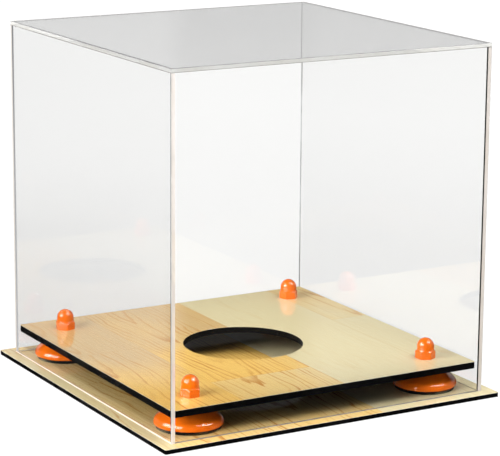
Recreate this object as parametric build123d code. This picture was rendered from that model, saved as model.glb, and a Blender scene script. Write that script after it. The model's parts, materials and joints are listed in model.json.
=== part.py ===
from build123d import *
from math import asin, atan2, cos, degrees, hypot, radians, sin, tan
import os

# Bowling ball display case: a clear five-sided cover over a raised platform on a flat base.
# Millimetres. The origin is the middle of the base's underside, with +Z up and -Y to the front.

# Cover: outside sizes and the thickness of its sheets
cover_width = 254.0
cover_depth = 254.0
cover_height = 254.0
cover_wall = 3.0
cover_edge_break = 0.3

# Base: it reaches past the cover by the same margin on every side
base_margin = 9.0
base_board_thickness = 2.7
base_corner_radius = 1.0

# Wood-look laminate on the base and on the platform
laminate_thickness = 0.5

# Platform: a loose fit inside the cover, with a round seat that the ball sits in
platform_gap = 1.0
platform_board_thickness = 4.4
platform_corner_radius = 1.5
seat_radius = 44.45
seat_edge_break = 0.2

# Risers: domed discs that carry the platform
riser_radius = 23.2
riser_height = 14.4
riser_lower_round = 1.0
riser_shoulder_round = 5.5
riser_edge_gap = 2.8
riser_neck_wall = 4.0
riser_floor = 4.0

# Rubber pads under the risers, a little smaller than their rim
pad_thickness = 2.6
pad_inset = 1.6
pad_edge_round = 0.5

# Studs: threaded rods, drawn plain, that hold riser, platform and cap nut together
stud_radius = 3.95
stud_fit = 0.05
stud_hole_clearance = 0.5
stud_end_chamfer = 0.6

# Cap nuts
nut_dome_wall = 2.2
nut_flat_step = 0.3
nut_hex_height = 5.9
nut_straight_height = 2.9
stud_reach = 3.0
nut_bore_end_gap = 1.0
nut_corner_slope = 30.0
nut_lower_chamfer = 0.3

# How far each cap nut is turned about its own axis, in degrees
nut_turn = {
    "front_left": 0.0,
    "front_right": 30.0,
    "back_left": 18.0,
    "back_right": 44.0,
}

# Levels, counted up from the base's underside
base_top = base_board_thickness + laminate_thickness
riser_bottom = base_top + pad_thickness
platform_bottom = riser_bottom + riser_height
platform_board_top = platform_bottom + platform_board_thickness
platform_top = platform_board_top + laminate_thickness
side_panel_height = cover_height - cover_wall
side_panel_top = base_top + side_panel_height

# Plan sizes of the base and the platform, and where the risers stand
base_width = cover_width + 2 * base_margin
base_depth = cover_depth + 2 * base_margin
platform_width = cover_width - 2 * (cover_wall + platform_gap)
platform_depth = cover_depth - 2 * (cover_wall + platform_gap)
riser_x = platform_width / 2 - riser_radius - riser_edge_gap
riser_y = platform_depth / 2 - riser_radius - riser_edge_gap
corner_centres = {
    "front_left": (-riser_x, -riser_y),
    "front_right": (riser_x, -riser_y),
    "back_left": (-riser_x, riser_y),
    "back_right": (riser_x, riser_y),
}

# Radii and lengths that follow from the stud
thread_radius = stud_radius + stud_fit
stud_hole_radius = stud_radius + stud_hole_clearance
riser_neck_radius = thread_radius + riser_neck_wall
riser_foot_radius = riser_radius - riser_lower_round
pad_radius = riser_radius - pad_inset
nut_thread_height = nut_hex_height + stud_reach
nut_dome_radius = thread_radius + nut_dome_wall
nut_flat_radius = nut_dome_radius + nut_flat_step
nut_corner_radius = nut_flat_radius / cos(radians(30))
stud_bottom = riser_bottom + riser_floor
stud_length = platform_top + nut_thread_height - stud_bottom

# Solids are placed by the middle of their underside
STANDING = (Align.CENTER, Align.CENTER, Align.MIN)


def cylinder(radius, height, bottom):
    """Upright cylinder on the Z axis that stands on the given level."""
    return Pos(0, 0, bottom) * Cylinder(radius, height, align=STANDING)


def sheet(width, depth, thickness, bottom, corner_radius):
    """Flat square sheet with small rounded corners."""
    outline = RectangleRounded(width, depth, corner_radius)
    return Pos(0, 0, bottom) * extrude(outline, thickness)


def bored_sheet(thickness, bottom):
    """Sheet of the platform's plan, with the ball seat and the four stud holes cut through."""
    plate = sheet(platform_width, platform_depth, thickness, bottom, platform_corner_radius)
    plate -= cylinder(seat_radius, thickness, bottom)
    for x, y in corner_centres.values():
        plate -= Pos(x, y, 0) * cylinder(stud_hole_radius, thickness, bottom)
    return plate


def seat_rims(plate):
    """The round edges of the ball seat, lowest first."""
    rims = plate.edges().filter_by(GeomType.CIRCLE)
    return rims.filter_by(lambda edge: abs(edge.radius - seat_radius) < 1e-6).sort_by(Axis.Z)


def platform_board():
    """Black board that carries the ball, its seat broken along the lower edge."""
    plate = bored_sheet(platform_board_thickness, platform_bottom)
    return chamfer(seat_rims(plate)[0], seat_edge_break)


def platform_laminate():
    """Wood-look top of the platform, its seat broken along the upper edge."""
    plate = bored_sheet(laminate_thickness, platform_board_top)
    return chamfer(seat_rims(plate)[-1], seat_edge_break)


def cover_block():
    """Outline of the whole cover with its outer edges broken a little, as on polished sheet."""
    block = Pos(0, 0, base_top) * Box(cover_width, cover_depth, cover_height, align=STANDING)
    return chamfer(block.edges(), cover_edge_break)


def cover_panels():
    """Five sheets: the top lies over the walls, and the front and back sit between the sides."""
    block = cover_block()
    inner_width = cover_width - 2 * cover_wall
    side_x = (cover_width - cover_wall) / 2
    end_y = (cover_depth - cover_wall) / 2
    sheets = {
        "top": (cover_width, cover_depth, cover_wall, 0, 0, side_panel_top),
        "left": (cover_wall, cover_depth, side_panel_height, -side_x, 0, base_top),
        "right": (cover_wall, cover_depth, side_panel_height, side_x, 0, base_top),
        "front": (inner_width, cover_wall, side_panel_height, 0, -end_y, base_top),
        "back": (inner_width, cover_wall, side_panel_height, 0, end_y, base_top),
    }
    for name, (width, depth, height, x, y, bottom) in sheets.items():
        panel = Pos(x, y, bottom) * Box(width, depth, height, align=STANDING)
        yield f"cover_{name}_panel", panel & block


def riser():
    """Domed disc: round under and over its rim, sloped up to a flat neck, with a blind hole for the stud."""
    rim_level = riser_bottom + riser_lower_round
    shoulder_radius = riser_radius - riser_shoulder_round
    inward = shoulder_radius - riser_neck_radius
    upward = platform_bottom - rim_level
    slope_start = atan2(inward, upward) + asin(riser_shoulder_round / hypot(inward, upward))
    with BuildSketch(Plane.XZ) as profile:
        with BuildLine():
            Line((0, riser_bottom), (riser_foot_radius, riser_bottom))
            CenterArc((riser_foot_radius, rim_level), riser_lower_round, -90, 90)
            CenterArc((shoulder_radius, rim_level), riser_shoulder_round, 0, degrees(slope_start))
            Polyline(
                (
                    shoulder_radius + riser_shoulder_round * cos(slope_start),
                    rim_level + riser_shoulder_round * sin(slope_start),
                ),
                (riser_neck_radius, platform_bottom),
                (0, platform_bottom),
            )
            Line((0, platform_bottom), (0, riser_bottom))
        make_face()
    body = revolve(profile.sketch, Axis.Z)
    return body - cylinder(thread_radius, platform_bottom - stud_bottom, stud_bottom)


def riser_pad():
    """Rubber disc under the riser, its lower rim rounded."""
    pad = cylinder(pad_radius, pad_thickness, base_top)
    return fillet(pad.edges().group_by(Axis.Z)[0], pad_edge_round)


def riser_stud():
    """Rod with a chamfer at each end, from the riser's floor up into the cap nut."""
    rod = cylinder(stud_radius, stud_length, stud_bottom)
    return chamfer(rod.edges().filter_by(GeomType.CIRCLE), stud_end_chamfer)


def cap_nut():
    """Hexagon with bevelled corners under a straight round part and a dome, bored blind."""
    hexagon = RegularPolygon(nut_flat_radius, 6, major_radius=False)
    hex_top = platform_top + nut_hex_height
    dome_level = hex_top + nut_straight_height
    corner_drop = (nut_corner_radius - nut_dome_radius) * tan(radians(nut_corner_slope))
    prism = Pos(0, 0, platform_top) * extrude(hexagon, nut_hex_height)
    with BuildSketch(Plane.XZ) as turned:
        Polygon(
            (0, platform_top),
            (nut_corner_radius - nut_lower_chamfer, platform_top),
            (nut_corner_radius, platform_top + nut_lower_chamfer),
            (nut_corner_radius, hex_top - corner_drop),
            (nut_dome_radius, hex_top),
            (0, hex_top),
            align=None,
        )
    with BuildSketch(Plane.XZ) as dome:
        with BuildLine():
            CenterArc((0, dome_level), nut_dome_radius, 0, 90)
            Polyline(
                (0, dome_level + nut_dome_radius),
                (0, hex_top),
                (nut_dome_radius, hex_top),
                (nut_dome_radius, dome_level),
            )
        make_face()
    nut = prism & revolve(turned.sketch, Axis.Z)
    nut += revolve(dome.sketch, Axis.Z)
    bore_height = nut_thread_height + nut_bore_end_gap
    return nut - cylinder(thread_radius, bore_height, platform_top)


def all_nodes():
    """Name and solid of every sub-part."""
    yield "base_board", sheet(base_width, base_depth, base_board_thickness, 0, base_corner_radius)
    yield "base_laminate", sheet(
        base_width, base_depth, laminate_thickness, base_board_thickness, base_corner_radius
    )
    yield "platform_board", platform_board()
    yield "platform_laminate", platform_laminate()
    yield from cover_panels()
    at_each_corner = {
        "riser": riser(),
        "riser_pad": riser_pad(),
        "riser_stud": riser_stud(),
        "cap_nut": cap_nut(),
    }
    for corner, (x, y) in corner_centres.items():
        for piece, solid in at_each_corner.items():
            turn = nut_turn[corner] if piece == "cap_nut" else 0
            yield f"{piece}_{corner}", Pos(x, y, 0) * Rot(0, 0, turn) * solid


os.makedirs("parts", exist_ok=True)
for node, shape in all_nodes():
    export_step(shape, f"parts/{node}.step")
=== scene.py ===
import sys
import json
from math import cos, pi, radians, sin, sqrt

import bmesh
import bpy
from mathutils import Matrix, Vector
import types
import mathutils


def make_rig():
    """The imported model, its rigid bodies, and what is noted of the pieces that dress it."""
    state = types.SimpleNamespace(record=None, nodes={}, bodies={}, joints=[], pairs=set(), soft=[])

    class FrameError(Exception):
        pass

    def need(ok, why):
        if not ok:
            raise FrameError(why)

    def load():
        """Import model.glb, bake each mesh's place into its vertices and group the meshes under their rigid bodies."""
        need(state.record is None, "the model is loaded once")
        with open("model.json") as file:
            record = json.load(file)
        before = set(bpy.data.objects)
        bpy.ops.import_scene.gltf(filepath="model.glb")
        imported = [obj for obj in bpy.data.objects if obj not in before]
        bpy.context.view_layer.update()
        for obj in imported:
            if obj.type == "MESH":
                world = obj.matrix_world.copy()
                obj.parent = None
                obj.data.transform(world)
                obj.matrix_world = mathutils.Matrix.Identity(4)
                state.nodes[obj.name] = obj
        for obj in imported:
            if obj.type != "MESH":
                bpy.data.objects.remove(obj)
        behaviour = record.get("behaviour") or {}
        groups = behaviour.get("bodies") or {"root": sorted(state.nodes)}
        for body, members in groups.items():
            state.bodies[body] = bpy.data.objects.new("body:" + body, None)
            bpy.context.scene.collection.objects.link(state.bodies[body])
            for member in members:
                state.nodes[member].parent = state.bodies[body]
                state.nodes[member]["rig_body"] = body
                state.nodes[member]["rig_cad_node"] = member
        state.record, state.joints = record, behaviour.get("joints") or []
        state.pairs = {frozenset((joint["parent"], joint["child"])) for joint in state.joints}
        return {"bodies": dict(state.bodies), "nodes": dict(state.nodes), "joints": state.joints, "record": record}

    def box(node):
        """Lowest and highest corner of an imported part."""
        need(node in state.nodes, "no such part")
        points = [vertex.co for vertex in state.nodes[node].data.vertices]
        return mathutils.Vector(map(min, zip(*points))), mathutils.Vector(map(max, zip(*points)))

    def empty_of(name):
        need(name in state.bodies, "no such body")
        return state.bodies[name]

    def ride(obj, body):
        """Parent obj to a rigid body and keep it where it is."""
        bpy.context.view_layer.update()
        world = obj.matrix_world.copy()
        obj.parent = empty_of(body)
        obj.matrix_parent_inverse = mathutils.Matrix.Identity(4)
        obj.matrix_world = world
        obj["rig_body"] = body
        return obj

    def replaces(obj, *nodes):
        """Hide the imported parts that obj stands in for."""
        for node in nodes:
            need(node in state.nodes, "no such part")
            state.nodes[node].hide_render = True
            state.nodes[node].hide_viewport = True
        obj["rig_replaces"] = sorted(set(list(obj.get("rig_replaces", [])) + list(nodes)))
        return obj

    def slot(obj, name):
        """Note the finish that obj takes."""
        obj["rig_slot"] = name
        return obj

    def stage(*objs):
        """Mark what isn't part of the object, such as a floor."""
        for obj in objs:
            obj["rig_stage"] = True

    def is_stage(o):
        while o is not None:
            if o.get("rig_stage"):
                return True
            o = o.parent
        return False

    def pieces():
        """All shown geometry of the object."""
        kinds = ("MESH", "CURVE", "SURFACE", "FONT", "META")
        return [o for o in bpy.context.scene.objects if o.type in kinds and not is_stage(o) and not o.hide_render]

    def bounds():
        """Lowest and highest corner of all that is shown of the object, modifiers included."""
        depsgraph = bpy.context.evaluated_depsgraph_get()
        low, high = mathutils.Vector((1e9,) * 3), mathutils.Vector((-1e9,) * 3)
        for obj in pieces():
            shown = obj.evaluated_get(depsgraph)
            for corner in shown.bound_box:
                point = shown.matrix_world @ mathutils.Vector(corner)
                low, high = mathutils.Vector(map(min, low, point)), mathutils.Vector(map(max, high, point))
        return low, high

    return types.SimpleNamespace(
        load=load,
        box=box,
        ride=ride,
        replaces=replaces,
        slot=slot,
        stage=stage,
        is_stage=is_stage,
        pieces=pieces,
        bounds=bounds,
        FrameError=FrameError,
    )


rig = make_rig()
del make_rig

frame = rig.load()
CAD_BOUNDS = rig.bounds()

bl_info = {
    "name": "Ball Display Case",
    "version": (1, 0, 0),
    "blender": (4, 5, 0),
    "location": "View3D > Sidebar > Display Case",
    "description": "Clear box display case with a raised wood-look platform on orange risers",
    "category": "Object",
}

CORNERS = ("front_left", "front_right", "back_left", "back_right")
SHEETS = ("top", "left", "right", "front", "back")
MM = 0.001

# Levels of the top sheet, by which the materials of the cover's edges tell it from the walls
TOP_SHEET_LOW, TOP_SHEET_HIGH = (corner.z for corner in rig.box("cover_top_panel"))

# Level directions on the stage, straight away from the camera and to its right, and the way to the key light
STAGE_BACK = (0.5, 0.866, 0.0)
STAGE_RIGHT = (0.866, -0.5, 0.0)
KEY_LIGHT = (-0.58, -0.06, 0.81)


# Sizes and colours a user would change


class DISPLAYCASE_PG_cover(bpy.types.PropertyGroup):
    """The five bonded sheets of the clear cover."""

    arris: bpy.props.FloatProperty(
        name="Arris",
        description="Width of the scraped corner along the outer edges, apart from the sides' feet",
        default=0.3 * MM,
        min=0.0,
        subtype="DISTANCE",
        unit="LENGTH",
    )
    groove: bpy.props.FloatProperty(
        name="Groove",
        description="Width of the eased corner under the top sheet's rim and along the sides' inner foot",
        default=0.35 * MM,
        min=0.0,
        subtype="DISTANCE",
        unit="LENGTH",
    )
    bond_gap: bpy.props.FloatProperty(
        name="Bond gap",
        description="Thickness of the cement between two sheets",
        default=0.01 * MM,
        min=0.0,
        subtype="DISTANCE",
        unit="LENGTH",
    )
    tint: bpy.props.FloatVectorProperty(
        name="Tint",
        description="Colour that the clear sheet gives to what is behind it",
        subtype="COLOR",
        default=(0.975, 0.975, 0.970),
        min=0.0,
        max=1.0,
    )
    # The edge colour is also the colour of the cut edges' painted glow, and the rim colour a painted shade on the top
    # sheet's edge
    edge_colour: bpy.props.FloatVectorProperty(
        name="Edge colour",
        description="Colour of the polished cut edges, which gather light",
        subtype="COLOR",
        default=(1.0, 0.93, 0.87),
        min=0.0,
        max=1.0,
    )
    rim_colour: bpy.props.FloatVectorProperty(
        name="Rim colour",
        description="Colour of the top sheet's cut edge on its shaded side",
        subtype="COLOR",
        default=(0.70, 0.70, 0.68),
        min=0.0,
        max=1.0,
    )


class DISPLAYCASE_PG_wood(bpy.types.PropertyGroup):
    """The printed wood-look laminate on the base and the platform."""

    plank_width: bpy.props.FloatProperty(
        name="Plank width",
        description="Width of the printed planks",
        default=81.2 * MM,
        min=0.01,
        subtype="DISTANCE",
        unit="LENGTH",
    )
    rosy: bpy.props.FloatVectorProperty(
        name="Rosy wood",
        description="Ground colour of the reddest planks",
        subtype="COLOR",
        default=(0.70, 0.49, 0.22),
        min=0.0,
        max=1.0,
    )
    golden: bpy.props.FloatVectorProperty(
        name="Golden wood",
        description="Ground colour of the golden planks",
        subtype="COLOR",
        default=(0.93, 0.59, 0.155),
        min=0.0,
        max=1.0,
    )
    cream: bpy.props.FloatVectorProperty(
        name="Cream wood",
        description="Ground colour of the palest planks",
        subtype="COLOR",
        default=(0.80, 0.71, 0.43),
        min=0.0,
        max=1.0,
    )
    grain_line: bpy.props.FloatVectorProperty(
        name="Grain line",
        description="Colour of the dark growth lines",
        subtype="COLOR",
        default=(0.56, 0.23, 0.04),
        min=0.0,
        max=1.0,
    )


class DISPLAYCASE_PG_finish(bpy.types.PropertyGroup):
    """Paint, plastic and rubber of the small parts, and the black boards."""

    nut_colour: bpy.props.FloatVectorProperty(
        name="Nut paint",
        description="Colour of the painted cap nuts",
        subtype="COLOR",
        default=(0.90, 0.165, 0.005),
        min=0.0,
        max=1.0,
    )
    riser_colour: bpy.props.FloatVectorProperty(
        name="Riser plastic",
        description="Colour of the moulded risers",
        subtype="COLOR",
        default=(0.98, 0.178, 0.006),
        min=0.0,
        max=1.0,
    )
    board_colour: bpy.props.FloatVectorProperty(
        name="Board black",
        description="Colour of the black boards",
        subtype="COLOR",
        default=(0.002, 0.002, 0.002),
        min=0.0,
        max=1.0,
    )
    rubber_colour: bpy.props.FloatVectorProperty(
        name="Pad rubber",
        description="Colour of the rubber pads",
        subtype="COLOR",
        default=(0.004, 0.004, 0.004),
        min=0.0,
        max=1.0,
    )


class DISPLAYCASE_PG_stage(bpy.types.PropertyGroup):
    """Camera, lamps, world and floor."""

    azimuth: bpy.props.FloatProperty(
        name="Azimuth",
        description="Where the camera stands, turned from the front about the upright axis",
        default=radians(-29.960572),
        subtype="ANGLE",
        unit="ROTATION",
    )
    elevation: bpy.props.FloatProperty(
        name="Elevation",
        description="How far the camera looks down",
        default=radians(13.036216),
        subtype="ANGLE",
        unit="ROTATION",
    )
    roll: bpy.props.FloatProperty(
        name="Roll",
        description="Turn of the camera about its own view direction",
        default=radians(0.435754),
        subtype="ANGLE",
        unit="ROTATION",
    )
    distance: bpy.props.FloatProperty(
        name="Distance",
        description="Distance from the camera to the point it looks at",
        default=1.640639,
        subtype="DISTANCE",
        unit="LENGTH",
    )
    aim_right: bpy.props.FloatProperty(
        name="Aim right",
        description="How far right of the case's middle the camera aims",
        default=0.005075,
        subtype="DISTANCE",
        unit="LENGTH",
    )
    aim_height: bpy.props.FloatProperty(
        name="Aim height",
        description="Height that the camera aims at",
        default=0.112206,
        subtype="DISTANCE",
        unit="LENGTH",
    )
    lens: bpy.props.FloatProperty(
        name="Lens",
        description="Focal length in millimetres on a 36 mm sensor",
        default=160.950622,
    )
    ambient: bpy.props.FloatProperty(
        name="Ambient",
        description="Strength of the sky's soft light where it is brightest",
        default=1.05,
        min=0.0,
    )


# Node helpers


def add(tree, kind, inputs=None, **settings):
    """Adds a shader node, sets its settings, and fills or joins the inputs named."""
    made = tree.nodes.new("ShaderNode" + kind)
    for name, value in settings.items():
        setattr(made, name, value)
    for name, value in (inputs or {}).items():
        socket = made.inputs[name]
        if isinstance(value, bpy.types.NodeSocket):
            tree.links.new(value, socket)
        elif isinstance(value, tuple) and len(value) == 3 and socket.type == "RGBA":
            socket.default_value = (*value, 1.0)
        else:
            socket.default_value = value
    return made


def calc(tree, operation, *values, clamp=False):
    """Output of a Math node on the given numbers or sockets."""
    inputs = dict(enumerate(values))
    return add(tree, "Math", inputs, operation=operation, use_clamp=clamp).outputs[0]


def blend(tree, factor, first, second, mode="MIX"):
    """Output of a colour Mix node."""
    made = add(tree, "Mix", data_type="RGBA", blend_type=mode, clamp_factor=True)
    for socket, value in ((made.inputs[0], factor), (made.inputs[6], first), (made.inputs[7], second)):
        if isinstance(value, bpy.types.NodeSocket):
            tree.links.new(value, socket)
        elif isinstance(value, (int, float)):
            socket.default_value = value
        else:
            socket.default_value = (*value, 1.0)
    return made.outputs[2]


def remap(tree, value, low, high, to_low=0.0, to_high=1.0, smooth=False):
    """Output of a Map Range node."""
    kind = "SMOOTHSTEP" if smooth else "LINEAR"
    inputs = {0: value, 1: low, 2: high, 3: to_low, 4: to_high}
    return add(tree, "MapRange", inputs, interpolation_type=kind, clamp=True).outputs[0]


def coordinate(tree, vector, axis):
    """One coordinate of a vector: 0 for x, 1 for y and 2 for z."""
    return add(tree, "SeparateXYZ", {0: vector}).outputs[axis]


def stretched(tree, vector, x, y, z):
    """Coordinates multiplied along each axis."""
    inputs = {0: vector, 1: (x, y, z)}
    return add(tree, "VectorMath", inputs, operation="MULTIPLY").outputs[0]


def dot(tree, vector, direction):
    """How far a vector reaches in a direction."""
    inputs = {0: vector, 1: direction}
    return add(tree, "VectorMath", inputs, operation="DOT_PRODUCT").outputs["Value"]


def noise(tree, vector, scale, detail=2.0, roughness=0.5, distortion=0.0):
    """Value of a Noise texture."""
    inputs = {
        "Vector": vector,
        "Scale": scale,
        "Detail": detail,
        "Roughness": roughness,
        "Distortion": distortion,
    }
    return add(tree, "TexNoise", inputs).outputs[0]


def new_group(name, inputs, outputs):
    """Empty node group with the given sockets, each as name, kind and default."""
    tree = bpy.data.node_groups.new(name, "ShaderNodeTree")
    for label, kind, default in inputs:
        socket = tree.interface.new_socket(name=label, in_out="INPUT", socket_type="NodeSocket" + kind)
        if default is not None:
            socket.default_value = default
    for label, kind in outputs:
        tree.interface.new_socket(name=label, in_out="OUTPUT", socket_type="NodeSocket" + kind)
    return tree, tree.nodes.new("NodeGroupInput").outputs, tree.nodes.new("NodeGroupOutput").inputs


def place(tree, group, inputs):
    """Places a node group in a material and returns its outputs."""
    made = tree.nodes.new("ShaderNodeGroup")
    made.node_tree = group
    for name, value in inputs.items():
        if isinstance(value, bpy.types.NodeSocket):
            tree.links.new(value, made.inputs[name])
        else:
            made.inputs[name].default_value = value
    return made.outputs


# Effects that several materials use


def handling_marks_group():
    """Roughness with soft smears and a few fine scratches."""
    tree, given, out = new_group(
        "handling_marks",
        [
            ("Position", "Vector", None),
            ("Smooth", "Float", 0.1),
            ("Rough", "Float", 0.3),
            ("Size", "Float", 30.0),
        ],
        [("Roughness", "Float"), ("Marks", "Float")],
    )
    smear = noise(tree, given["Position"], given["Size"], 4.0, 0.55, 0.4)
    smear = remap(tree, smear, 0.40, 0.72, smooth=True)
    turn = {"Vector": given["Position"], "Angle": 0.6}
    turned = add(tree, "VectorRotate", turn, rotation_type="Z_AXIS").outputs[0]
    scratch = noise(tree, stretched(tree, turned, 2600.0, 60.0, 60.0), 1.0, 1.0)
    scratch = remap(tree, scratch, 0.70, 0.76)
    marks = calc(tree, "MAXIMUM", smear, calc(tree, "MULTIPLY", scratch, 0.7))
    tree.links.new(marks, out["Marks"])
    tree.links.new(remap(tree, marks, 0.0, 1.0, given["Smooth"], given["Rough"]), out["Roughness"])
    return tree


def fine_texture_group():
    """Height of the fine unevenness of a moulded, painted or rubbery surface."""
    tree, given, out = new_group(
        "fine_texture",
        [("Position", "Vector", None), ("Size", "Float", 1500.0), ("Grit", "Float", 0.3)],
        [("Height", "Float")],
    )
    waves = noise(tree, given["Position"], given["Size"], 1.0)
    grit = noise(tree, given["Position"], calc(tree, "MULTIPLY", given["Size"], 5.0), 3.0)
    height = calc(tree, "MULTIPLY_ADD", grit, given["Grit"], waves)
    tree.links.new(height, out["Height"])
    return tree


PLANK_LENGTH = 300.0 * MM
RING_WIDTH = 3.6 * MM


def plank_wood_group():
    """Colour and height of planks that run from front to back, each with its own tone and growth rings."""
    tree, given, out = new_group(
        "plank_wood",
        [
            ("Position", "Vector", None),
            ("Plank Width", "Float", 0.0812),
            ("First Joint", "Float", -0.0702),
            ("Left Tone", "Float", 0.1),
            ("Middle Tone", "Float", 0.56),
            ("Right Tone", "Float", 0.95),
            ("Front Warmth", "Float", 0.0),
            ("Back Blush", "Float", 0.0),
            ("Shade", "Float", 1.0),
            ("Rosy", "Color", None),
            ("Golden", "Color", None),
            ("Cream", "Color", None),
            ("Grain Line", "Color", None),
        ],
        [("Color", "Color"), ("Height", "Float")],
    )
    x = coordinate(tree, given["Position"], 0)
    y = coordinate(tree, given["Position"], 1)
    across = calc(tree, "DIVIDE", calc(tree, "SUBTRACT", x, given["First Joint"]), given["Plank Width"])
    column = calc(tree, "FLOOR", across)
    within = calc(tree, "FRACT", across)
    stagger = calc(tree, "MULTIPLY_ADD", column, 0.1, 0.077)
    along = calc(tree, "DIVIDE", calc(tree, "ADD", y, stagger), PLANK_LENGTH)
    row = calc(tree, "FLOOR", along)

    # Tone of each plank: towards the front the left ones warm up, a painted reflection of the ball that the case
    # holds, and the others grow paler; the middle one is redder at the back, a painted shade of that ball; and the
    # narrow strip at the far left is more golden
    left = calc(tree, "LESS_THAN", column, -0.5)
    right = calc(tree, "GREATER_THAN", column, 0.5)
    middle = given["Middle Tone"]
    tone = calc(tree, "MULTIPLY_ADD", left, calc(tree, "SUBTRACT", given["Left Tone"], middle), middle)
    tone = calc(tree, "MULTIPLY_ADD", right, calc(tree, "SUBTRACT", given["Right Tone"], middle), tone)
    nearer = remap(tree, calc(tree, "ADD", y, calc(tree, "MULTIPLY", x, 0.35)), -0.010, -0.095, smooth=True)
    warmth = calc(tree, "MULTIPLY", calc(tree, "MULTIPLY", nearer, left), given["Front Warmth"])
    paler = calc(tree, "MULTIPLY", calc(tree, "SUBTRACT", 1.0, left), calc(tree, "MULTIPLY", row, -0.15))
    farther = remap(tree, calc(tree, "ADD", y, calc(tree, "MULTIPLY", x, -0.3)), 0.000, 0.050, smooth=True)
    between = calc(tree, "SUBTRACT", calc(tree, "SUBTRACT", 1.0, left), right)
    blush = calc(tree, "MULTIPLY", calc(tree, "MULTIPLY", farther, between), given["Back Blush"])
    sliver = calc(tree, "LESS_THAN", column, -1.5)
    tone = calc(tree, "ADD", tone, calc(tree, "ADD", warmth, paler))
    changed = calc(tree, "MULTIPLY_ADD", sliver, 0.12, calc(tree, "MULTIPLY", blush, -1.0))
    tone = calc(tree, "ADD", tone, changed)
    drift = noise(tree, stretched(tree, given["Position"], 16.0, 6.0, 1.0), 1.0, 2.0)
    tone = calc(tree, "ADD", tone, remap(tree, drift, 0.3, 0.7, -0.09, 0.09), clamp=True)

    # Each plank is cut from another place in the log
    shift_x = calc(tree, "MULTIPLY_ADD", column, 0.37, calc(tree, "MULTIPLY", row, 0.23))
    shift_y = calc(tree, "MULTIPLY_ADD", column, 0.71, calc(tree, "MULTIPLY", row, 0.47))
    moved_x = calc(tree, "ADD", x, shift_x)
    moved_y = calc(tree, "ADD", y, shift_y)
    moved = add(tree, "CombineXYZ", {0: moved_x, 1: moved_y, 2: 0.0}).outputs[0]

    # Growth rings cut lengthwise: nearly straight at the plank's sides, arched in its middle
    sway = noise(tree, stretched(tree, moved, 24.0, 8.0, 1.0), 1.0, 3.0, 0.5)
    sway = remap(tree, sway, 0.0, 1.0, -0.012, 0.012)
    off_heart = calc(tree, "MULTIPLY", calc(tree, "SUBTRACT", within, 0.36), given["Plank Width"])
    off_heart = calc(tree, "ADD", off_heart, sway)
    depth = calc(tree, "MULTIPLY_ADD", y, -0.060, 0.012)
    squares = calc(tree, "ADD", calc(tree, "POWER", off_heart, 2.0), calc(tree, "POWER", depth, 2.0))
    ring = calc(tree, "SQRT", squares)
    waver = noise(tree, stretched(tree, moved, 330.0, 30.0, 1.0), 1.0, 3.0)
    ring = calc(tree, "ADD", ring, remap(tree, waver, 0.0, 1.0, -0.0013, 0.0013))
    ring = calc(tree, "DIVIDE", ring, RING_WIDTH)
    year = calc(tree, "FLOOR", ring)
    phase = calc(tree, "FRACT", ring)

    # Each year's dark line has its own strength, and comes and goes along its run
    plank_number = calc(tree, "MULTIPLY_ADD", column, 17.0, calc(tree, "MULTIPLY_ADD", row, 31.0, 0.5))
    seed = {"W": calc(tree, "ADD", year, plank_number)}
    chance = add(tree, "TexWhiteNoise", seed, noise_dimensions="1D").outputs["Value"]
    starts = remap(tree, chance, 0.3, 1.0, 0.72, 0.50)
    line = remap(tree, phase, starts, 0.92, smooth=True)
    line = calc(tree, "MULTIPLY", line, remap(tree, phase, 0.94, 1.0, 1.0, 0.0))
    line = calc(tree, "MULTIPLY", line, remap(tree, chance, 0.25, 0.90, 0.30, 1.0))
    fade = noise(tree, stretched(tree, moved, 45.0, 14.0, 1.0), 1.0, 2.0)
    line = calc(tree, "MULTIPLY", line, remap(tree, fade, 0.38, 0.62, 0.45, 1.0))

    # Fine fibres and short pores
    fibre = noise(tree, stretched(tree, moved, 1100.0, 20.0, 1.0), 1.0, 3.0, 0.6)
    pores = noise(tree, stretched(tree, moved, 2300.0, 120.0, 1.0), 1.0, 1.0)
    pores = remap(tree, pores, 0.60, 0.72)

    rosy_golden = blend(tree, remap(tree, tone, 0.14, 0.46), given["Rosy"], given["Golden"])
    ground = blend(tree, remap(tree, tone, 0.56, 0.90), rosy_golden, given["Cream"])
    strength = remap(tree, tone, 0.10, 0.42, 0.65, 1.0)
    strength = calc(tree, "MULTIPLY", strength, remap(tree, tone, 0.74, 0.92, 1.0, 0.10))
    lined = blend(tree, calc(tree, "MULTIPLY", line, strength), ground, given["Grain Line"])
    fibred = blend(tree, remap(tree, fibre, 0.42, 0.78, 0.0, 0.20), lined, given["Grain Line"])
    pored = calc(tree, "MULTIPLY", pores, calc(tree, "MULTIPLY_ADD", strength, 0.14, 0.06))
    pored = blend(tree, pored, fibred, given["Grain Line"])

    # Joints between planks are a hair darker
    edge = calc(tree, "MINIMUM", within, calc(tree, "SUBTRACT", 1.0, within))
    edge = calc(tree, "MULTIPLY", edge, given["Plank Width"])
    end = calc(tree, "FRACT", along)
    end = calc(tree, "MINIMUM", end, calc(tree, "SUBTRACT", 1.0, end))
    end = calc(tree, "MULTIPLY", end, PLANK_LENGTH)
    joint = remap(tree, calc(tree, "MINIMUM", edge, end), 0.00015, 0.00045, 1.0, 0.0)
    colour = blend(tree, calc(tree, "MULTIPLY", joint, 0.28), pored, given["Grain Line"])
    # The Shade input, and a further 0.09 on the narrow strip at the far left, darken the colour as painted shade
    dark = calc(tree, "MULTIPLY_ADD", sliver, 0.09, calc(tree, "SUBTRACT", 1.0, given["Shade"]))
    tree.links.new(blend(tree, dark, colour, (0.0, 0.0, 0.0)), out["Color"])
    relief = calc(tree, "MULTIPLY_ADD", line, -0.5, calc(tree, "MULTIPLY", pores, -0.5))
    tree.links.new(relief, out["Height"])
    return tree


GROUPS = {}


def group(name):
    """The shared node group of that name, built the first time it is asked for."""
    if name not in GROUPS:
        GROUPS[name] = globals()[name + "_group"]()
    return GROUPS[name]


# Materials


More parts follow.
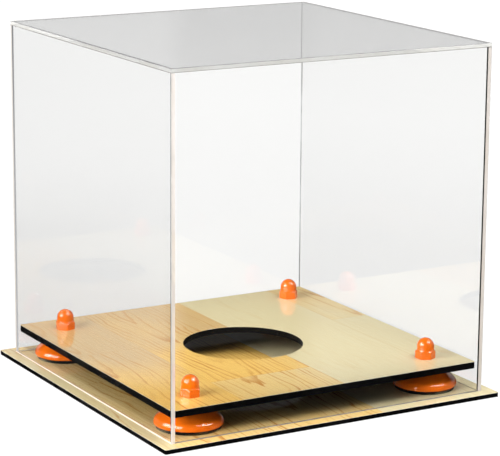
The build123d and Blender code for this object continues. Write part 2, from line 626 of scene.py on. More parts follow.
def new_material(name):
    """Material with a Principled shader, its tree, that shader and the piece's own coordinates."""
    material = bpy.data.materials.new(name)
    material.use_nodes = True
    tree = material.node_tree
    tree.nodes.clear()
    shader = add(tree, "BsdfPrincipled")
    output = add(tree, "OutputMaterial", {"Surface": shader.outputs[0]})
    position = add(tree, "TexCoord").outputs["Object"]
    return material, tree, shader, output, position


def set_shader(tree, shader, values):
    """Fills or joins inputs of a Principled shader."""
    for name, value in values.items():
        socket = shader.inputs[name]
        if isinstance(value, bpy.types.NodeSocket):
            tree.links.new(value, socket)
        elif socket.type == "RGBA":
            socket.default_value = (*tuple(value)[:3], 1.0)
        else:
            socket.default_value = value


def bumped(tree, height, distance, strength=1.0):
    """Normal from a height."""
    return add(tree, "Bump", {"Height": height, "Distance": distance, "Strength": strength}).outputs[0]


def handling_marks(tree, position, smooth, rough, size):
    """Outputs of the shared marks: a roughness and the marks themselves."""
    inputs = {"Position": position, "Smooth": smooth, "Rough": rough, "Size": size}
    return place(tree, group("handling_marks"), inputs)


def fine_texture(tree, position, size, grit):
    """Height of the shared fine unevenness."""
    inputs = {"Position": position, "Size": size, "Grit": grit}
    return place(tree, group("fine_texture"), inputs)["Height"]


def runs(tree, position, size, low, high, to_low=0.0, to_high=1.0):
    """Slow variation of even grain, from one value to another."""
    slow = noise(tree, stretched(tree, position, size, size, size), 1.0, 3.0)
    return remap(tree, slow, low, high, to_low, to_high)


def soft_light(tree):
    """1 for light from lamps and for light bounced off dull surfaces."""
    path = add(tree, "LightPath").outputs
    return calc(tree, "MAXIMUM", path["Is Shadow Ray"], path["Is Diffuse Ray"])


def show(tree, output, surface, film):
    """Soft light meets the film, and all other rays meet the surface."""
    mixed = add(tree, "MixShader", {0: soft_light(tree), 1: surface.outputs[0], 2: film.outputs[0]})
    tree.links.new(mixed.outputs[0], output.inputs["Surface"])


def side_mask(tree):
    """1 on faces that stand upright, such as cut edges, and 0 on faces that lie flat."""
    normal = add(tree, "TexCoord").outputs["Normal"]
    upright = calc(tree, "ABSOLUTE", coordinate(tree, normal, 2))
    return remap(tree, upright, 0.35, 0.75, 1.0, 0.0)


def laminate_material(name, wood, first_joint, tones, front_warmth, shade, gloss, core_bottom):
    """Glossy printed laminate whose cut edge is black below and shows a pale core above."""
    material, tree, shader, _, position = new_material(name)
    planks = place(
        tree,
        group("plank_wood"),
        {
            "Position": position,
            "Plank Width": wood.plank_width,
            "First Joint": first_joint,
            "Left Tone": tones[0],
            "Middle Tone": tones[1],
            "Right Tone": tones[2],
            "Front Warmth": front_warmth,
            "Back Blush": front_warmth,
            "Shade": shade,
            "Rosy": (*wood.rosy, 1.0),
            "Golden": (*wood.golden, 1.0),
            "Cream": (*wood.cream, 1.0),
            "Grain Line": (*wood.grain_line, 1.0),
        },
    )
    marks = handling_marks(tree, position, 0.03, 0.09, 22.0)
    height = coordinate(tree, position, 2)
    upper = remap(tree, height, core_bottom + 0.34 * MM, core_bottom + 0.38 * MM)
    core = blend(tree, upper, (0.01, 0.01, 0.01), (0.80, 0.74, 0.62))
    colour = blend(tree, side_mask(tree), planks["Color"], core)
    set_shader(
        tree,
        shader,
        {
            "Base Color": colour,
            "Roughness": marks["Roughness"],
            "Normal": bumped(tree, planks["Height"], 0.02 * MM, 0.35),
            "Specular IOR Level": gloss,
            "IOR": 1.5,
        },
    )
    return material


def board_material(finish):
    """Black board, its cut edges slightly duller than its faces."""
    material, tree, shader, _, position = new_material("black_gloss_board")
    marks = handling_marks(tree, position, 0.08, 0.22, 26.0)
    texture = fine_texture(tree, position, 700.0, 0.5)
    edge = side_mask(tree)
    saw = noise(tree, stretched(tree, position, 300.0, 300.0, 4000.0), 1.0, 2.0)
    marked = calc(tree, "MULTIPLY", marks["Marks"], 0.6)
    tinted = blend(tree, marked, tuple(finish.board_colour), (0.005, 0.005, 0.006))
    roughness = calc(tree, "MULTIPLY_ADD", edge, 0.15, marks["Roughness"])
    height = calc(tree, "MULTIPLY_ADD", calc(tree, "MULTIPLY", saw, edge), 0.6, texture)
    set_shader(
        tree,
        shader,
        {
            "Base Color": tinted,
            "Roughness": roughness,
            "Normal": bumped(tree, height, 0.01 * MM, 0.5),
            "Specular IOR Level": 0.06,
            "IOR": 1.5,
        },
    )
    return material


def orange_material(name, colour):
    """Orange with a clear glossy skin, faint unevenness and slight variation of tone."""
    material, tree, shader, _, position = new_material(name)
    marks = handling_marks(tree, position, 0.02, 0.05, 90.0)
    texture = fine_texture(tree, position, 420.0, 0.12)
    cloud = noise(tree, position, 60.0, 3.0)
    deep = tuple(channel * 0.80 for channel in colour)
    tinted = blend(tree, remap(tree, cloud, 0.35, 0.70, 0.0, 0.7), tuple(colour), deep)
    set_shader(
        tree,
        shader,
        {
            "Base Color": tinted,
            "Roughness": marks["Roughness"],
            "Coat Weight": 0.2,
            "Coat Roughness": 0.03,
            "Normal": bumped(tree, texture, 0.004 * MM, 0.6),
            "IOR": 1.5,
        },
    )
    return material


def rubber_material(finish):
    """Dull black rubber with a fine moulded grain."""
    material, tree, shader, _, position = new_material("pad_rubber")
    texture = fine_texture(tree, position, 2200.0, 1.0)
    dust = noise(tree, position, 400.0, 3.0)
    dusty = remap(tree, dust, 0.55, 0.80, 0.0, 0.5)
    tinted = blend(tree, dusty, tuple(finish.rubber_colour), (0.012, 0.012, 0.012))
    set_shader(
        tree,
        shader,
        {
            "Base Color": tinted,
            "Roughness": remap(tree, dust, 0.3, 0.8, 0.55, 0.80),
            "Normal": bumped(tree, texture, 0.01 * MM),
            "Specular IOR Level": 0.15,
        },
    )
    return material


def steel_material():
    """Zinc-plated steel rod with its thread as a fine ridge pattern."""
    material, tree, shader, _, position = new_material("stud_zinc")
    marks = handling_marks(tree, position, 0.25, 0.45, 400.0)
    half_pitch = 0.625 * MM
    thread = calc(tree, "PINGPONG", coordinate(tree, position, 2), half_pitch)
    set_shader(
        tree,
        shader,
        {
            "Base Color": blend(tree, marks["Marks"], (0.62, 0.62, 0.60), (0.45, 0.45, 0.43)),
            "Metallic": 1.0,
            "Roughness": marks["Roughness"],
            "Normal": bumped(tree, thread, 1.0),
        },
    )
    return material


SHEET_INDEX = 1.49
EDGE_FILM = (0.90, 0.89, 0.87)
LINE_FILM = (0.92, 0.92, 0.92)


def clear_material(cover):
    """Clear cast acrylic with polished faces, which pass less soft light at a glancing angle."""
    material, tree, shader, output, _ = new_material("clear_cast_acrylic")
    tint = tuple(cover.tint)
    set_shader(
        tree,
        shader,
        {
            "Base Color": tint,
            "Roughness": 0.0,
            "Transmission Weight": 1.0,
            "IOR": SHEET_INDEX,
        },
    )
    glance = calc(tree, "POWER", add(tree, "LayerWeight", {"Blend": 0.5}).outputs["Facing"], 5.5)
    passed = blend(tree, calc(tree, "MULTIPLY_ADD", glance, 0.80, 0.09), tint, (0.0, 0.0, 0.0))
    show(tree, output, shader, add(tree, "BsdfTransparent", {"Color": passed}))
    return material


def cut_edge_material(cover):
    """Polished cut edge with a painted glow (emission) in place of the light the sheet gathers, warmer towards the
    foot, with painted shade on the top sheet's rim.
    """
    material, tree, shader, output, position = new_material("acrylic_cut_edge")
    run = noise(tree, stretched(tree, position, 24.0, 24.0, 24.0), 1.0, 3.0)
    fine = noise(tree, stretched(tree, position, 500.0, 500.0, 160.0), 1.0, 2.0)
    height = coordinate(tree, position, 2)
    facing = coordinate(tree, add(tree, "TexCoord").outputs["Normal"], 0)
    rim = blend(tree, remap(tree, facing, -0.8, -0.4), tuple(cover.rim_colour), (0.84, 0.84, 0.81))
    # The painted glow is warmer near the feet, and the top sheet's edge is greyer, greyest on its left-facing side as
    # painted shade
    foot_to_top = remap(tree, height, 50.0 * MM, 240.0 * MM)
    base = blend(tree, foot_to_top, (0.88, 0.80, 0.72), tuple(cover.edge_colour))
    base = blend(tree, remap(tree, height, TOP_SHEET_LOW - 0.4 * MM, TOP_SHEET_LOW), base, rim)
    darker = blend(tree, 1.0, base, (0.90, 0.88, 0.84), "MULTIPLY")
    tinted = blend(tree, remap(tree, run, 0.42, 0.66, 0.0, 0.75), base, darker)
    tinted = blend(tree, remap(tree, fine, 0.50, 0.75, 0.0, 0.20), tinted, (0.60, 0.58, 0.55))
    set_shader(
        tree,
        shader,
        {
            "Base Color": blend(tree, 0.75, tinted, (0.0, 0.0, 0.0)),
            "Roughness": handling_marks(tree, position, 0.05, 0.25, 60.0)["Roughness"],
            "IOR": SHEET_INDEX,
            "Emission Color": tinted,
            "Emission Strength": 0.8,
        },
    )
    film = add(tree, "BsdfTransparent", {"Color": EDGE_FILM})
    show(tree, output, add(tree, "MixShader", {0: 0.28, 1: shader.outputs[0], 2: film.outputs[0]}), film)
    return material


def speckled_film(tree, position, clear, speck):
    """Transparent film with a few specks of trapped air, and its colour."""
    specks = noise(tree, position, 260.0, 3.0, 0.6)
    tinted = blend(tree, remap(tree, specks, 0.60, 0.72), clear, speck)
    return add(tree, "BsdfTransparent", {"Color": tinted}), tinted


def bond_material():
    """Cemented joint between two sheets, nearly clear."""
    material, tree, shader, output, position = new_material("acrylic_bond")
    tree.nodes.remove(shader)
    film, _ = speckled_film(tree, position, (0.90, 0.90, 0.91), (0.62, 0.62, 0.64))
    tree.links.new(film.outputs[0], output.inputs["Surface"])
    return material


def dark_bond_material():
    """Cemented joint at the back and along the top: a darker film as painted shade, where less light comes from
    behind, and a painted glow.
    """
    material, tree, shader, output, position = new_material("acrylic_dark_bond")
    tree.nodes.remove(shader)
    film, tinted = speckled_film(tree, position, (0.62, 0.62, 0.63), (0.46, 0.46, 0.48))
    x = coordinate(tree, position, 0)
    z = coordinate(tree, position, 2)

    # The left upright has more painted glow than the others, brightest at its foot
    at_left = calc(tree, "LESS_THAN", x, -100.0 * MM)
    at_left = calc(tree, "MULTIPLY", at_left, calc(tree, "LESS_THAN", z, TOP_SHEET_LOW - 0.7 * MM))
    usual = 0.62
    level = remap(tree, z, 20.0 * MM, 240.0 * MM, 1.0, 0.42)
    level = calc(tree, "MULTIPLY_ADD", at_left, calc(tree, "SUBTRACT", level, usual), usual)

    # The right upright has patches of painted glow half way up
    halfway = calc(tree, "ABSOLUTE", calc(tree, "SUBTRACT", z, 130.0 * MM))
    halfway = remap(tree, halfway, 50.0 * MM, 80.0 * MM, 1.0, 0.0)
    patches = noise(tree, stretched(tree, position, 20.0, 20.0, 60.0), 1.0, 2.0)
    broken = calc(tree, "MULTIPLY", halfway, remap(tree, patches, 0.35, 0.55, 0.35, 1.0))
    broken = calc(tree, "MULTIPLY", broken, calc(tree, "GREATER_THAN", x, 100.0 * MM))
    level = calc(tree, "MULTIPLY_ADD", broken, 0.45, level)

    haze = add(tree, "Emission", {"Color": tinted, "Strength": level})
    clear = calc(tree, "MULTIPLY_ADD", calc(tree, "MAXIMUM", at_left, broken), -0.33, 0.45)
    clear = calc(tree, "MAXIMUM", soft_light(tree), clear)
    mixed = add(tree, "MixShader", {0: clear, 1: haze.outputs[0], 2: film.outputs[0]})
    tree.links.new(mixed.outputs[0], output.inputs["Surface"])
    return material


def foot_material():
    """Sawn lower edge of a sheet with a warm painted glow (emission), in place of the light that the sheet gathers and
    lets out there.
    """
    material, tree, shader, output, position = new_material("acrylic_foot")
    saw = noise(tree, stretched(tree, position, 900.0, 900.0, 900.0), 1.0, 2.0)
    tinted = blend(tree, runs(tree, position, 40.0, 0.35, 0.70), (0.97, 0.83, 0.71), (0.95, 0.76, 0.61))
    tinted = blend(tree, remap(tree, saw, 0.45, 0.75, 0.0, 0.25), tinted, (0.85, 0.68, 0.52))
    set_shader(
        tree,
        shader,
        {
            "Base Color": blend(tree, 0.75, tinted, (0.0, 0.0, 0.0)),
            "Roughness": remap(tree, saw, 0.3, 0.7, 0.35, 0.55),
            "Emission Color": tinted,
            "Emission Strength": 0.85,
        },
    )
    show(tree, output, shader, add(tree, "BsdfTransparent", {"Color": EDGE_FILM}))
    return material


def groove_material():
    """Thin dark line of painted shadow where two surfaces of the cover, or the cover and the base, nearly meet."""
    material, tree, shader, output, position = new_material("acrylic_groove_shadow")
    tinted = blend(tree, runs(tree, position, 90.0, 0.35, 0.70), (0.10, 0.085, 0.07), (0.20, 0.17, 0.14))
    roughness = runs(tree, position, 90.0, 0.3, 0.7, 0.45, 0.65)
    set_shader(tree, shader, {"Base Color": tinted, "Roughness": roughness, "IOR": SHEET_INDEX})
    show(tree, output, shader, add(tree, "BsdfTransparent", {"Color": LINE_FILM}))
    return material


def arris_material():
    """Thin scraped corner along the outer edges, which reads as a grey line, darker along the rim."""
    material, tree, shader, output, position = new_material("acrylic_arris")
    height = coordinate(tree, position, 2)
    rim = remap(tree, height, TOP_SHEET_HIGH - 1.2 * MM, TOP_SHEET_HIGH - 0.4 * MM)
    run = runs(tree, position, 60.0, 0.35, 0.70)
    pale = blend(tree, run, (0.42, 0.42, 0.42), (0.62, 0.61, 0.59))
    dark = blend(tree, run, (0.20, 0.20, 0.21), (0.38, 0.37, 0.36))
    roughness = runs(tree, position, 60.0, 0.3, 0.7, 0.12, 0.30)
    set_shader(
        tree,
        shader,
        {"Base Color": blend(tree, rim, pale, dark), "Roughness": roughness, "IOR": SHEET_INDEX},
    )
    film = add(tree, "BsdfTransparent", {"Color": LINE_FILM})
    show(tree, output, add(tree, "MixShader", {0: 0.30, 1: shader.outputs[0], 2: film.outputs[0]}), film)
    return material


# Meshes


def new_object(name, mesh, materials):
    """Object at the frame's origin, with its place in its mesh."""
    made = bpy.data.objects.new(name, mesh)
    bpy.context.scene.collection.objects.link(made)
    for material in materials:
        mesh.materials.append(material)
    return made


def mesh_from(bm, name):
    """Mesh of a bmesh, which is freed."""
    bmesh.ops.recalc_face_normals(bm, faces=bm.faces)
    mesh = bpy.data.meshes.new(name)
    bm.to_mesh(mesh)
    bm.free()
    return mesh


def dress(made, node, body, slot):
    """The piece stands for a CAD node, rides on its body and takes its finish from a slot."""
    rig.replaces(made, node)
    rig.ride(made, body)
    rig.slot(made, slot)


# Places of the cover's materials in each sheet's list
CLEAR, CUT_EDGE, BOND, DARK_BOND, ARRIS, FOOT, GROOVE = range(7)

# Strip of painted glow along the left sheet's foot: its height in front, in arris widths, and its slope to the back
FOOT_STRIP = 4.2
FOOT_TAPER = 0.0024

# Points closer than this lie on the same plane
TINY = 0.05 * MM


def cut_through(bm, point, normal):
    """Cuts every face of a mesh along a plane."""
    everything = bm.verts[:] + bm.edges[:] + bm.faces[:]
    bmesh.ops.bisect_plane(bm, geom=everything, plane_co=point, plane_no=normal)


def ease(bm, edges, width, segments, material):
    """Bevels edges, and gives the new faces a material."""
    bmesh.ops.bevel(
        bm,
        geom=edges,
        offset=width,
        offset_type="OFFSET",
        segments=segments,
        profile=0.5,
        affect="EDGES",
        material=material,
    )


def sheet_mesh(name, low, high, block_low, block_high, wall, bond_gap, arris, groove):
    """One flat sheet of the cover, with the strips bonded to its neighbours as faces of their own."""
    size = [far - near for near, far in zip(low, high)]
    thin = size.index(min(size))
    is_top = thin == 2
    is_end = thin == 1
    low, high = Vector(low), Vector(high)
    low.z += bond_gap
    if is_end:
        low.x += bond_gap
        high.x -= bond_gap
    bm = bmesh.new()
    bmesh.ops.create_cube(bm, size=1.0)
    for vertex in bm.verts:
        vertex.co = Vector((high[i] if vertex.co[i] > 0 else low[i]) for i in range(3))
    if not is_end:
        for axis in (0, 1) if is_top else (1,):
            for level in (block_low[axis] + wall, block_high[axis] - wall):
                normal = Vector((0.0, 0.0, 0.0))
                normal[axis] = 1.0
                cut_through(bm, normal * level, normal)
    at_left = thin == 0 and low.x < 0
    strip_top = low.z + FOOT_STRIP * arris
    if at_left:
        cut_through(bm, (low.x, low.y, strip_top), (0.0, FOOT_TAPER, 1.0))
    for face in bm.faces:
        centre = face.calc_center_median()
        across = max(range(3), key=lambda i: abs(face.normal[i]))
        in_margin = (
            centre.x < block_low[0] + wall
            or centre.x > block_high[0] - wall
            or centre.y < block_low[1] + wall
            or centre.y > block_high[1] - wall
        )
        face.material_index = CLEAR if across == thin else CUT_EDGE
        if at_left and across == 0 and centre.x < low.x + TINY and centre.z < strip_top:
            face.material_index = FOOT
        if is_top and across == 2 and centre.z < low.z + TINY and in_margin:
            face.material_index = DARK_BOND
        # The feet of the left and back sheets take the painted glow, and the other feet the painted shadow line
        if not is_top and across == 2 and centre.z < low.z + TINY:
            face.material_index = FOOT if at_left or (is_end and centre.y > 0) else GROOVE
        if not is_top and across == 2 and centre.z > high.z - TINY:
            face.material_index = BOND
        at_back = DARK_BOND if centre.y > 0 else BOND
        if is_end and across == 0:
            face.material_index = at_back
        inner_side = thin == 0 and across == 0 and abs(centre.x) < block_high[0] - wall + TINY
        if inner_side and abs(centre.y) > block_high[1] - wall:
            face.material_index = at_back

    def on_block(point):
        """For each axis, whether a point lies on one of the cover's two outer planes."""
        return [min(abs(point[i] - block_low[i]), abs(point[i] - block_high[i])) < TINY for i in range(3)]

    outer = [
        edge
        for edge in bm.edges
        if sum(a and b for a, b in zip(on_block(edge.verts[0].co), on_block(edge.verts[1].co))) >= 2
    ]
    # The lower edges of the side sheets stay sharp, because they stand on the base
    if thin == 0:
        outer = [edge for edge in outer if max(vertex.co.z for vertex in edge.verts) >= low.z + TINY]
    ease(bm, outer, arris, 2, ARRIS)

    def on_groove(first, second):
        """Whether an edge runs under the top sheet's rim, or along a side sheet's inner foot."""
        if max(first.z, second.z) > low.z + TINY:
            return False
        if is_top:
            return any(a and b for a, b in zip(on_block(first)[:2], on_block(second)[:2]))
        inner = block_high[thin] - wall
        return abs(abs(first[thin]) - inner) < TINY and abs(abs(second[thin]) - inner) < TINY

    grooves = [edge for edge in bm.edges if on_groove(edge.verts[0].co, edge.verts[1].co)]
    ease(bm, grooves, groove, 1, GROOVE)
    return mesh_from(bm, name)


def soft_least(first, second, softness):
    """The smaller of two numbers, blended where they are close, as a coat of paint rounds an edge."""
    share = max(softness - abs(first - second), 0.0) / softness
    return min(first, second) - share * share * softness / 4


def soft_most(first, second, softness):
    """The larger of two numbers, blended where they are close."""
    return -soft_least(-first, -second, softness)


def nut_mesh(name, centre, bottom, top, turn):
    """Painted cap nut: hexagon with eased corners that flows into a tall dome. The stud fills its bore."""
    flat = 6.5 * MM
    corner = 7.42 * MM
    dome = 6.2 * MM
    hex_height = 5.9 * MM
    foot_inset = 0.45 * MM
    foot_steepness = 1.6
    neck_flare = 1.5 * MM
    dome_level = top - bottom - dome
    turns = 96
    hex_rings = 32
    neck_rings = 5
    dome_step = 4
    levels = [hex_height * i / hex_rings for i in range(hex_rings + 1)]
    levels += [hex_height + (dome_level - hex_height) * i / neck_rings for i in range(1, neck_rings + 1)]
    levels += [dome_level + dome * sin(radians(angle)) for angle in range(dome_step, 90, dome_step)]
    bm = bmesh.new()
    rings = []
    for level in levels:
        round_part = sqrt(dome**2 - max(level - dome_level, 0.0) ** 2)
        chamfer = dome + (hex_height - level) * sqrt(3)
        foot = corner - foot_inset + level * foot_steepness
        ring = []
        for i in range(turns):
            angle = 2 * pi * i / turns
            local = (angle + pi / 6) % (pi / 3) - pi / 6
            side = soft_least(flat / cos(local), corner, 0.25 * MM)
            side = soft_least(side, chamfer, 0.35 * MM)
            side = soft_least(side, foot, 0.25 * MM)
            radius = round_part
            if level < hex_height + neck_flare:
                radius = soft_most(side, round_part, 0.6 * MM)
            facing = angle + turn
            x = centre[0] + radius * cos(facing)
            y = centre[1] + radius * sin(facing)
            ring.append(bm.verts.new((x, y, bottom + level)))
        rings.append(ring)
    for lower, upper in zip(rings, rings[1:]):
        for i in range(turns):
            j = (i + 1) % turns
            bm.faces.new((lower[i], lower[j], upper[j], upper[i]))
    tip = bm.verts.new((centre[0], centre[1], top))
    for i in range(turns):
        bm.faces.new((rings[-1][i], rings[-1][(i + 1) % turns], tip))
    bm.faces.new(list(reversed(rings[0])))
    mesh = mesh_from(bm, name)
    for polygon in mesh.polygons:
        polygon.use_smooth = True
    mesh.set_sharp_from_angle(angle=radians(60))
    return mesh


# Operators


class DISPLAYCASE_OT_cover(bpy.types.Operator):
    """Build the five clear sheets of the cover, bonded along their edges."""

    bl_idname = "display_case.cover"
    bl_label = "Clear cover"

    def execute(self, context):
        cover = context.scene.display_case_cover
        materials = [
            clear_material(cover),
            cut_edge_material(cover),
            bond_material(),
            dark_bond_material(),
            arris_material(),
            foot_material(),
            groove_material(),
        ]
        boxes = {side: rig.box(f"cover_{side}_panel") for side in SHEETS}
        block_low = [min(low[i] for low, _ in boxes.values()) for i in range(3)]
        block_high = [max(high[i] for _, high in boxes.values()) for i in range(3)]
        wall = boxes["top"][1].z - boxes["top"][0].z
        for side, (low, high) in boxes.items():
            name = f"cover_{side}_sheet"
            block = (block_low, block_high, wall)
            mesh = sheet_mesh(name, low, high, *block, cover.bond_gap, cover.arris, cover.groove)
            made = new_object(name, mesh, materials)
            dress(made, f"cover_{side}_panel", "cover", "clear_acrylic")
        return {"FINISHED"}


class DISPLAYCASE_OT_boards(bpy.types.Operator):
    """Give the black boards of the base and the platform their finish."""

    bl_idname = "display_case.boards"
    bl_label = "Black boards"

    def execute(self, context):
        material = board_material(context.scene.display_case_finish)
        for node in ("base_board", "platform_board"):
            frame["nodes"][node].data.materials[0] = material
        return {"FINISHED"}


class DISPLAYCASE_OT_laminates(bpy.types.Operator):
    """Lay the wood-look laminate on the base and the platform."""

    bl_idname = "display_case.laminates"
    bl_label = "Wood-look laminate"

    def execute(self, context):
        wood = context.scene.display_case_wood
        platform = laminate_material(
            "platform_wood_laminate",
            wood,
            first_joint=-70.2 * MM,
            tones=(0.12, 0.54, 0.95),
            front_warmth=0.36,
            shade=0.985,
            gloss=0.5,
            core_bottom=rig.box("platform_laminate")[0].z,
        )
        # The base takes the same print as the platform, darkened by its shade level as painted shade
        base = laminate_material(
            "base_wood_laminate",
            wood,
            first_joint=-44.5 * MM,
            tones=(0.70, 0.52, 0.95),
            front_warmth=0.0,
            shade=0.83,
            gloss=0.2,
            core_bottom=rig.box("base_laminate")[0].z,
        )
        frame["nodes"]["platform_laminate"].data.materials[0] = platform
        frame["nodes"]["base_laminate"].data.materials[0] = base
        return {"FINISHED"}


class DISPLAYCASE_OT_risers(bpy.types.Operator):
    """Finish the risers, their rubber pads and the steel studs inside them."""

    bl_idname = "display_case.risers"
    bl_label = "Risers, pads and studs"

    def execute(self, context):
        finish = context.scene.display_case_finish
        orange = orange_material("riser_moulded_orange", tuple(finish.riser_colour))
        rubber = rubber_material(finish)
        steel = steel_material()
        for corner in CORNERS:
            frame["nodes"][f"riser_{corner}"].data.materials[0] = orange
            frame["nodes"][f"riser_pad_{corner}"].data.materials[0] = rubber
            frame["nodes"][f"riser_stud_{corner}"].data.materials[0] = steel
        return {"FINISHED"}


class DISPLAYCASE_OT_nuts(bpy.types.Operator):
    """Build the four painted cap nuts."""

    bl_idname = "display_case.nuts"
    bl_label = "Cap nuts"

    def execute(self, context):
        finish = context.scene.display_case_finish
        paint = orange_material("nut_orange_paint", tuple(finish.nut_colour))
        turns = {"front_left": 0.0, "front_right": 30.0, "back_left": 18.0, "back_right": 44.0}
        for corner, turn in turns.items():
            node = f"cap_nut_{corner}"
            low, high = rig.box(node)
            bore_low, bore_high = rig.box(f"riser_stud_{corner}")
            centre = ((bore_low.x + bore_high.x) / 2, (bore_low.y + bore_high.y) / 2)
            mesh = nut_mesh(f"painted_{node}", centre, low.z, high.z, radians(turn + 30))
            made = new_object(f"painted_{node}", mesh, [paint])
            dress(made, node, "stand", "nut_orange")
        return {"FINISHED"}


class DISPLAYCASE_OT_stage(bpy.types.Operator):
    """Set up the camera, the lamps, the world, the floor and a card for reflections."""

    bl_idname = "display_case.stage"
    bl_label = "Stage"

    def execute(self, context):
        stage = context.scene.display_case_stage
        context.scene.view_settings.view_transform = "Standard"
        make_camera(context, stage)
        make_lamps(context)
        make_world(context, stage)
        make_floor(context)
        make_mirror_card()
        return {"FINISHED"}


def camera_axes(stage):
    """The camera's right, up and backward directions before its roll."""
    az, el = stage.azimuth, stage.elevation
    back = Vector((sin(az) * cos(el), -cos(az) * cos(el), sin(el)))
    right = Vector((cos(az), sin(az), 0.0))
    return right, right.cross(-back), back


def make_camera(context, stage):
    """Camera at the photograph's viewing angle."""
    right, up, back = camera_axes(stage)
    turn = stage.roll
    rolled_right = cos(turn) * right + sin(turn) * up
    rolled_up = -sin(turn) * right + cos(turn) * up
    spot = stage.aim_right * right + Vector((0.0, 0.0, stage.aim_height)) + back * stage.distance
    data = bpy.data.cameras.new("case_camera")
    data.sensor_width = 36.0
    data.sensor_fit = "HORIZONTAL"
    data.lens = stage.lens
    data.clip_start = 0.01
    data.clip_end = 60.0
    camera = bpy.data.objects.new("case_camera", data)
    rotation = Matrix((rolled_right, rolled_up, back)).transposed().to_4x4()
    camera.matrix_world = Matrix.Translation(spot) @ rotation
    context.scene.collection.objects.link(camera)
    context.scene.camera = camera


def make_lamps(context):
    """Two broad softboxes, low at the left and high at the right, each with a lamp for its highlight."""
    target = Vector((0.0, 0.0, 60.0 * MM))
    for name, azimuth, elevation, distance, width, height, power, mirrored in (
        ("left_softbox", -80.0, 22.0, 1.7, 1.30, 0.90, 46.0, False),
        ("right_softbox", 38.0, 58.0, 1.9, 1.60, 0.90, 40.0, False),
        ("left_highlight", -107.0, 27.0, 1.7, 0.58, 1.10, 26.0, True),
        ("right_highlight", 47.0, 45.0, 1.9, 0.85, 0.95, 41.0, True),
    ):
        az, el = radians(azimuth), radians(elevation)
        away = Vector((sin(az) * cos(el), -cos(az) * cos(el), sin(el)))
        data = bpy.data.lights.new(name, "AREA")
        data.shape = "RECTANGLE"
        data.size = width
        data.size_y = height
        data.energy = power
        lamp = bpy.data.objects.new(name, data)
        lamp.location = target + away * distance
        lamp.rotation_euler = away.to_track_quat("Z", "Y").to_euler()
        lamp.visible_camera = False
        lamp.visible_diffuse = not mirrored
        lamp.visible_glossy = mirrored
        context.scene.collection.objects.link(lamp)


def make_world(context, stage):
    """White for what is seen, a dimmer sky for what is mirrored, and soft light for the rest."""
    world = bpy.data.worlds.new("studio_world")
    world.use_nodes = True
    tree = world.node_tree
    tree.nodes.clear()
    path = add(tree, "LightPath").outputs
    direction = add(tree, "TexCoord").outputs["Generated"]
    rise = coordinate(tree, direction, 2)
    mirrored = calc(tree, "GREATER_THAN", path["Glossy Depth"], 0.5)
    band = remap(tree, rise, 0.0, 0.10, smooth=True)
    band = calc(tree, "MULTIPLY", band, remap(tree, rise, 0.17, 0.60, 1.0, 0.25))
    behind = dot(tree, direction, STAGE_BACK)
    band = calc(tree, "MULTIPLY", band, remap(tree, behind, -0.3, 0.5, 0.12, 1.0, smooth=True))
    ceiling = remap(tree, band, 0.0, 1.0, 0.05, 0.58)
    ambient = calc(tree, "POWER", remap(tree, dot(tree, direction, KEY_LIGHT), 0.10, 1.0), 1.5)
    ambient = remap(tree, ambient, 0.0, 1.0, 0.012, stage.ambient)
    seen = calc(tree, "MAXIMUM", path["Is Glossy Ray"], path["Is Transmission Ray"])
    seen = calc(tree, "MAXIMUM", path["Is Camera Ray"], seen)
    dimmed = calc(tree, "MULTIPLY", mirrored, calc(tree, "SUBTRACT", 1.0, ceiling))
    shown = blend(tree, dimmed, (1.0, 1.0, 1.0), (0.0, 0.0, 0.0))
    soft = add(tree, "CombineColor", {0: ambient, 1: ambient, 2: ambient}).outputs[0]
    colour = blend(tree, seen, soft, shown)
    background = add(tree, "Background", {"Color": colour, "Strength": 1.0})
    add(tree, "OutputWorld", {"Surface": background.outputs[0]})
    context.scene.world = world


def make_floor(context):
    """Pale floor that shows white and keeps a light shadow."""
    bm = bmesh.new()
    bmesh.ops.create_grid(bm, x_segments=4, y_segments=4, size=15.0)
    mesh = mesh_from(bm, "studio_floor")
    material, tree, shader, output, position = new_material("studio_floor_white")
    tree.nodes.remove(shader)
    path = add(tree, "LightPath").outputs
    bounced = add(tree, "BsdfDiffuse", {"Color": (0.75, 0.75, 0.75)})
    x_square = calc(tree, "POWER", coordinate(tree, position, 0), 2.0)
    y_square = calc(tree, "POWER", coordinate(tree, position, 1), 2.0)
    away = calc(tree, "SQRT", calc(tree, "ADD", x_square, y_square))
    mirrored = calc(tree, "GREATER_THAN", path["Glossy Depth"], 0.5)
    far = remap(tree, away, 0.24, 1.0, smooth=True)
    dimmed = calc(tree, "MULTIPLY", mirrored, calc(tree, "MULTIPLY_ADD", far, -0.50, 1.0))
    grey = blend(tree, dimmed, (0.16, 0.16, 0.16), (0.003, 0.003, 0.003))
    faint = add(tree, "BsdfDiffuse", {"Color": grey})
    unmirrored = calc(tree, "SUBTRACT", 1.0, calc(tree, "MULTIPLY", dimmed, 0.995))
    strength = calc(tree, "MULTIPLY", remap(tree, away, 0.3, 2.5, 0.86, 0.99), unmirrored)
    glow = add(tree, "Emission", {"Color": (1.0, 1.0, 1.0), "Strength": strength})
    shown = add(tree, "AddShader", {0: faint.outputs[0], 1: glow.outputs[0]})
    mixed = add(tree, "MixShader", {0: path["Is Diffuse Ray"], 1: shown.outputs[0], 2: bounced.outputs[0]})
    tree.links.new(mixed.outputs[0], output.inputs["Surface"])
    floor_object = new_object("studio_floor", mesh, [material])
    floor_object.location.z = -0.3 * MM
    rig.stage(floor_object)


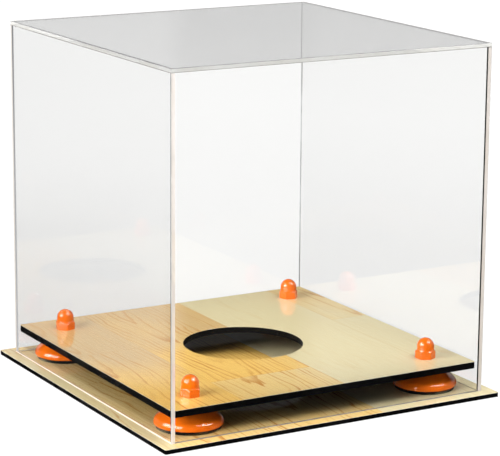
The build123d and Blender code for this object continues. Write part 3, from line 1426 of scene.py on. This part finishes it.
def make_mirror_card():
    """White card behind the case that shows only in reflections, bright at the left and dim at the right."""
    distance = 0.5
    half_width = 0.45
    top = 0.28
    centre = distance * Vector(STAGE_BACK)
    reach = half_width * Vector(STAGE_RIGHT)
    bm = bmesh.new()
    corners = ((-1, 0.0), (1, 0.0), (1, top), (-1, top))
    bm.faces.new([bm.verts.new(centre + side * reach + Vector((0.0, 0.0, z))) for side, z in corners])
    bmesh.ops.subdivide_edges(bm, edges=bm.edges[:], cuts=2, use_grid_fill=True)
    mesh = mesh_from(bm, "studio_mirror_card")
    material, tree, shader, output, position = new_material("studio_mirror_card_white")
    tree.nodes.remove(shader)
    mirrored = calc(tree, "GREATER_THAN", add(tree, "LightPath").outputs["Glossy Depth"], 0.5)
    height = coordinate(tree, position, 2)
    sideways = dot(tree, position, STAGE_RIGHT)
    low = remap(tree, height, 198.0 * MM, 226.0 * MM, 1.0, 0.10, smooth=True)
    left = remap(tree, sideways, -84.0 * MM, -52.0 * MM, 1.0, 0.10, smooth=True)
    left = calc(tree, "MULTIPLY", left, low)
    right = remap(tree, sideways, 50.0 * MM, 80.0 * MM, 0.0, 0.40, smooth=True)
    glow = add(tree, "Emission", {"Color": (1.0, 1.0, 1.0), "Strength": calc(tree, "ADD", left, right)})
    open_air = add(tree, "BsdfTransparent")
    mixed = add(tree, "MixShader", {0: mirrored, 1: open_air.outputs[0], 2: glow.outputs[0]})
    tree.links.new(mixed.outputs[0], output.inputs["Surface"])
    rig.stage(new_object("studio_mirror_card", mesh, [material]))


class DISPLAYCASE_PT_panel(bpy.types.Panel):
    """Sizes, colours and build steps of the display case."""

    bl_idname = "DISPLAYCASE_PT_panel"
    bl_label = "Display Case"
    bl_space_type = "VIEW_3D"
    bl_region_type = "UI"
    bl_category = "Display Case"

    def draw(self, context):
        layout = self.layout
        for operator in OPERATORS:
            layout.operator(operator.bl_idname)
        for name, group_type in SETTINGS.items():
            box = layout.box()
            values = getattr(context.scene, name)
            for key in group_type.__annotations__:
                box.prop(values, key)


SETTINGS = {
    "display_case_cover": DISPLAYCASE_PG_cover,
    "display_case_wood": DISPLAYCASE_PG_wood,
    "display_case_finish": DISPLAYCASE_PG_finish,
    "display_case_stage": DISPLAYCASE_PG_stage,
}
OPERATORS = (
    DISPLAYCASE_OT_stage,
    DISPLAYCASE_OT_boards,
    DISPLAYCASE_OT_laminates,
    DISPLAYCASE_OT_risers,
    DISPLAYCASE_OT_nuts,
    DISPLAYCASE_OT_cover,
)


def register():
    """Makes the settings, the operators and the panel known to Blender."""
    for group_type in SETTINGS.values():
        bpy.utils.register_class(group_type)
    for name, group_type in SETTINGS.items():
        setattr(bpy.types.Scene, name, bpy.props.PointerProperty(type=group_type))
    for operator in OPERATORS:
        bpy.utils.register_class(operator)
    bpy.utils.register_class(DISPLAYCASE_PT_panel)


def unregister():
    """Takes back what register did."""
    bpy.utils.unregister_class(DISPLAYCASE_PT_panel)
    for operator in reversed(OPERATORS):
        bpy.utils.unregister_class(operator)
    for name, group_type in SETTINGS.items():
        delattr(bpy.types.Scene, name)
        bpy.utils.unregister_class(group_type)


def main():
    """Builds the stage and the case, and writes the two boxes."""
    register()
    bpy.ops.display_case.stage()
    bpy.ops.display_case.boards()
    bpy.ops.display_case.laminates()
    bpy.ops.display_case.risers()
    bpy.ops.display_case.nuts()
    bpy.ops.display_case.cover()
    sizes = {
        "cad": [list(corner) for corner in CAD_BOUNDS],
        "visual": [list(corner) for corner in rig.bounds()],
    }
    with open("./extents.json", "w") as file:
        json.dump(sizes, file)


if __name__ == "__main__":
    main()
